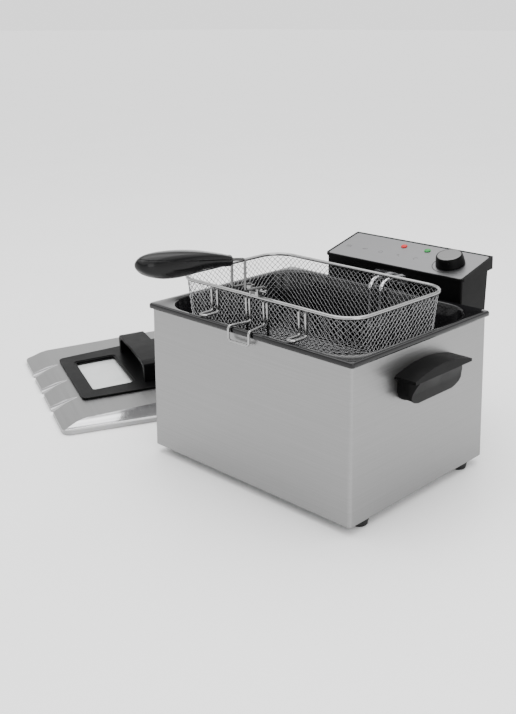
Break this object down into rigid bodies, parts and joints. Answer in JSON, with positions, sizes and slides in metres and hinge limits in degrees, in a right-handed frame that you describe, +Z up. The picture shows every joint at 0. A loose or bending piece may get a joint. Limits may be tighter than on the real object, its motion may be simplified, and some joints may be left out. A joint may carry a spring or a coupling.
{
  "type": "deep fryer",
  "caption": "Family deep fryer: steel casing, lift-out enamelled oil pan, wire basket with folding handle, hanging control head with heating element, and a separate windowed lid.",
  "frame": {"origin": "middle of the footprint of everything, on the table that the feet and the lid stand on", "axes": "+X to the right along the front, +Y to the back where the control head hangs, +Z up"},
  "size_m": [0.8066, 0.5192, 0.3222],
  "materials": {
    "brushed_steel": "fine brushed, satin",
    "panel_steel": "fine brushed, satin",
    "polished_steel": "polished",
    "chrome_wire": "bright drawn wire",
    "zinc_steel": "zinc plated",
    "enamel": "glossy black vitreous enamel",
    "black_plastic": "satin moulded",
    "gloss_plastic": "glossy moulded",
    "inner_plastic": "plain moulded",
    "rubber": "matte",
    "red_lens": "translucent red lens",
    "green_lens": "translucent green lens",
    "red_plastic": "satin",
    "glass": "clear",
    "filter_felt": "carbon felt"
  },
  "bodies": {
    "housing": {"housing_shell": "brushed_steel", "base_plate": "zinc_steel", "foot_front_left": "rubber", "foot_front_right": "rubber", "foot_back_left": "rubber", "foot_back_right": "rubber", "carry_handle_left": "black_plastic", "carry_handle_right": "black_plastic", "backing_strip_left": "zinc_steel", "backing_strip_right": "zinc_steel", "carry_screw_left_front": "zinc_steel", "carry_screw_left_back": "zinc_steel", "carry_screw_right_front": "zinc_steel", "carry_screw_right_back": "zinc_steel", "head_guide": "black_plastic", "guide_screw_left": "zinc_steel", "guide_screw_right": "zinc_steel"},
    "pan": {"oil_pan": "enamel"},
    "basket": {"basket_mesh": "chrome_wire", "basket_rim": "chrome_wire", "rest_hook_left": "chrome_wire", "rest_hook_right": "chrome_wire", "hanger_loop": "chrome_wire", "bracket_loop": "chrome_wire", "pivot_bracket": "chrome_wire", "pivot_pin": "chrome_wire"},
    "basket_handle": {"handle_wire": "chrome_wire", "grip_upper": "gloss_plastic", "grip_lower": "gloss_plastic", "grip_screw": "zinc_steel"},
    "control_head": {"head_case": "black_plastic", "head_cover": "black_plastic", "panel_plate": "panel_steel", "power_light": "red_lens", "ready_light": "green_lens", "thermostat": "inner_plastic", "thermal_cutout": "inner_plastic", "terminal_block": "inner_plastic", "safety_switch": "inner_plastic", "cord_gland": "rubber", "hang_plate": "black_plastic", "hang_screw_left": "zinc_steel", "hang_screw_right": "zinc_steel", "element_flange": "polished_steel", "heating_element": "polished_steel", "thermostat_bulb": "zinc_steel", "leg_brace": "polished_steel"},
    "knob": {"knob_body": "black_plastic", "knob_cap": "brushed_steel", "thermostat_shaft": "zinc_steel"},
    "reset": {"reset_button": "red_plastic"},
    "lid": {"lid_shell": "brushed_steel", "lid_frame": "black_plastic", "lid_window": "glass", "window_gasket": "rubber", "lid_handle": "black_plastic", "lid_screw_left": "zinc_steel", "lid_screw_right": "zinc_steel", "filter_pad": "filter_felt", "filter_grid": "zinc_steel"}
  },
  "joints": [
    {"name": "pan_lift", "type": "slide", "parent": "housing", "child": "pan", "axis": [0, 0, 1], "range_m": [0, 0.2]},
    {"name": "basket_lift", "type": "slide", "parent": "pan", "child": "basket", "axis": [0, 0, 1], "range_m": [0, 0.2]},
    {"name": "handle_fold", "type": "hinge", "parent": "basket", "child": "basket_handle", "pos_m": [0.20325, -0.08195, 0.2515], "axis": [-1, 0, 0], "range_deg": [0, 145]},
    {"name": "head_lift", "type": "slide", "parent": "pan", "child": "control_head", "axis": [0, 0, 1], "range_m": [0, 0.04]},
    {"name": "knob_turn", "type": "hinge", "parent": "control_head", "child": "knob", "pos_m": [0.28125, 0.21584, 0.24169], "axis": [0, -0.2571, 0.9664], "range_deg": [0, 270]},
    {"name": "reset_press", "type": "slide", "parent": "control_head", "child": "reset", "axis": [0, -1, 0], "range_m": [0, 0.0025], "stiffness_N_per_m": 400},
    {"name": "lid_lift", "type": "slide", "parent": "housing", "child": "lid", "axis": [0, 0, 1], "range_m": [0, 0.1]}
  ]
}
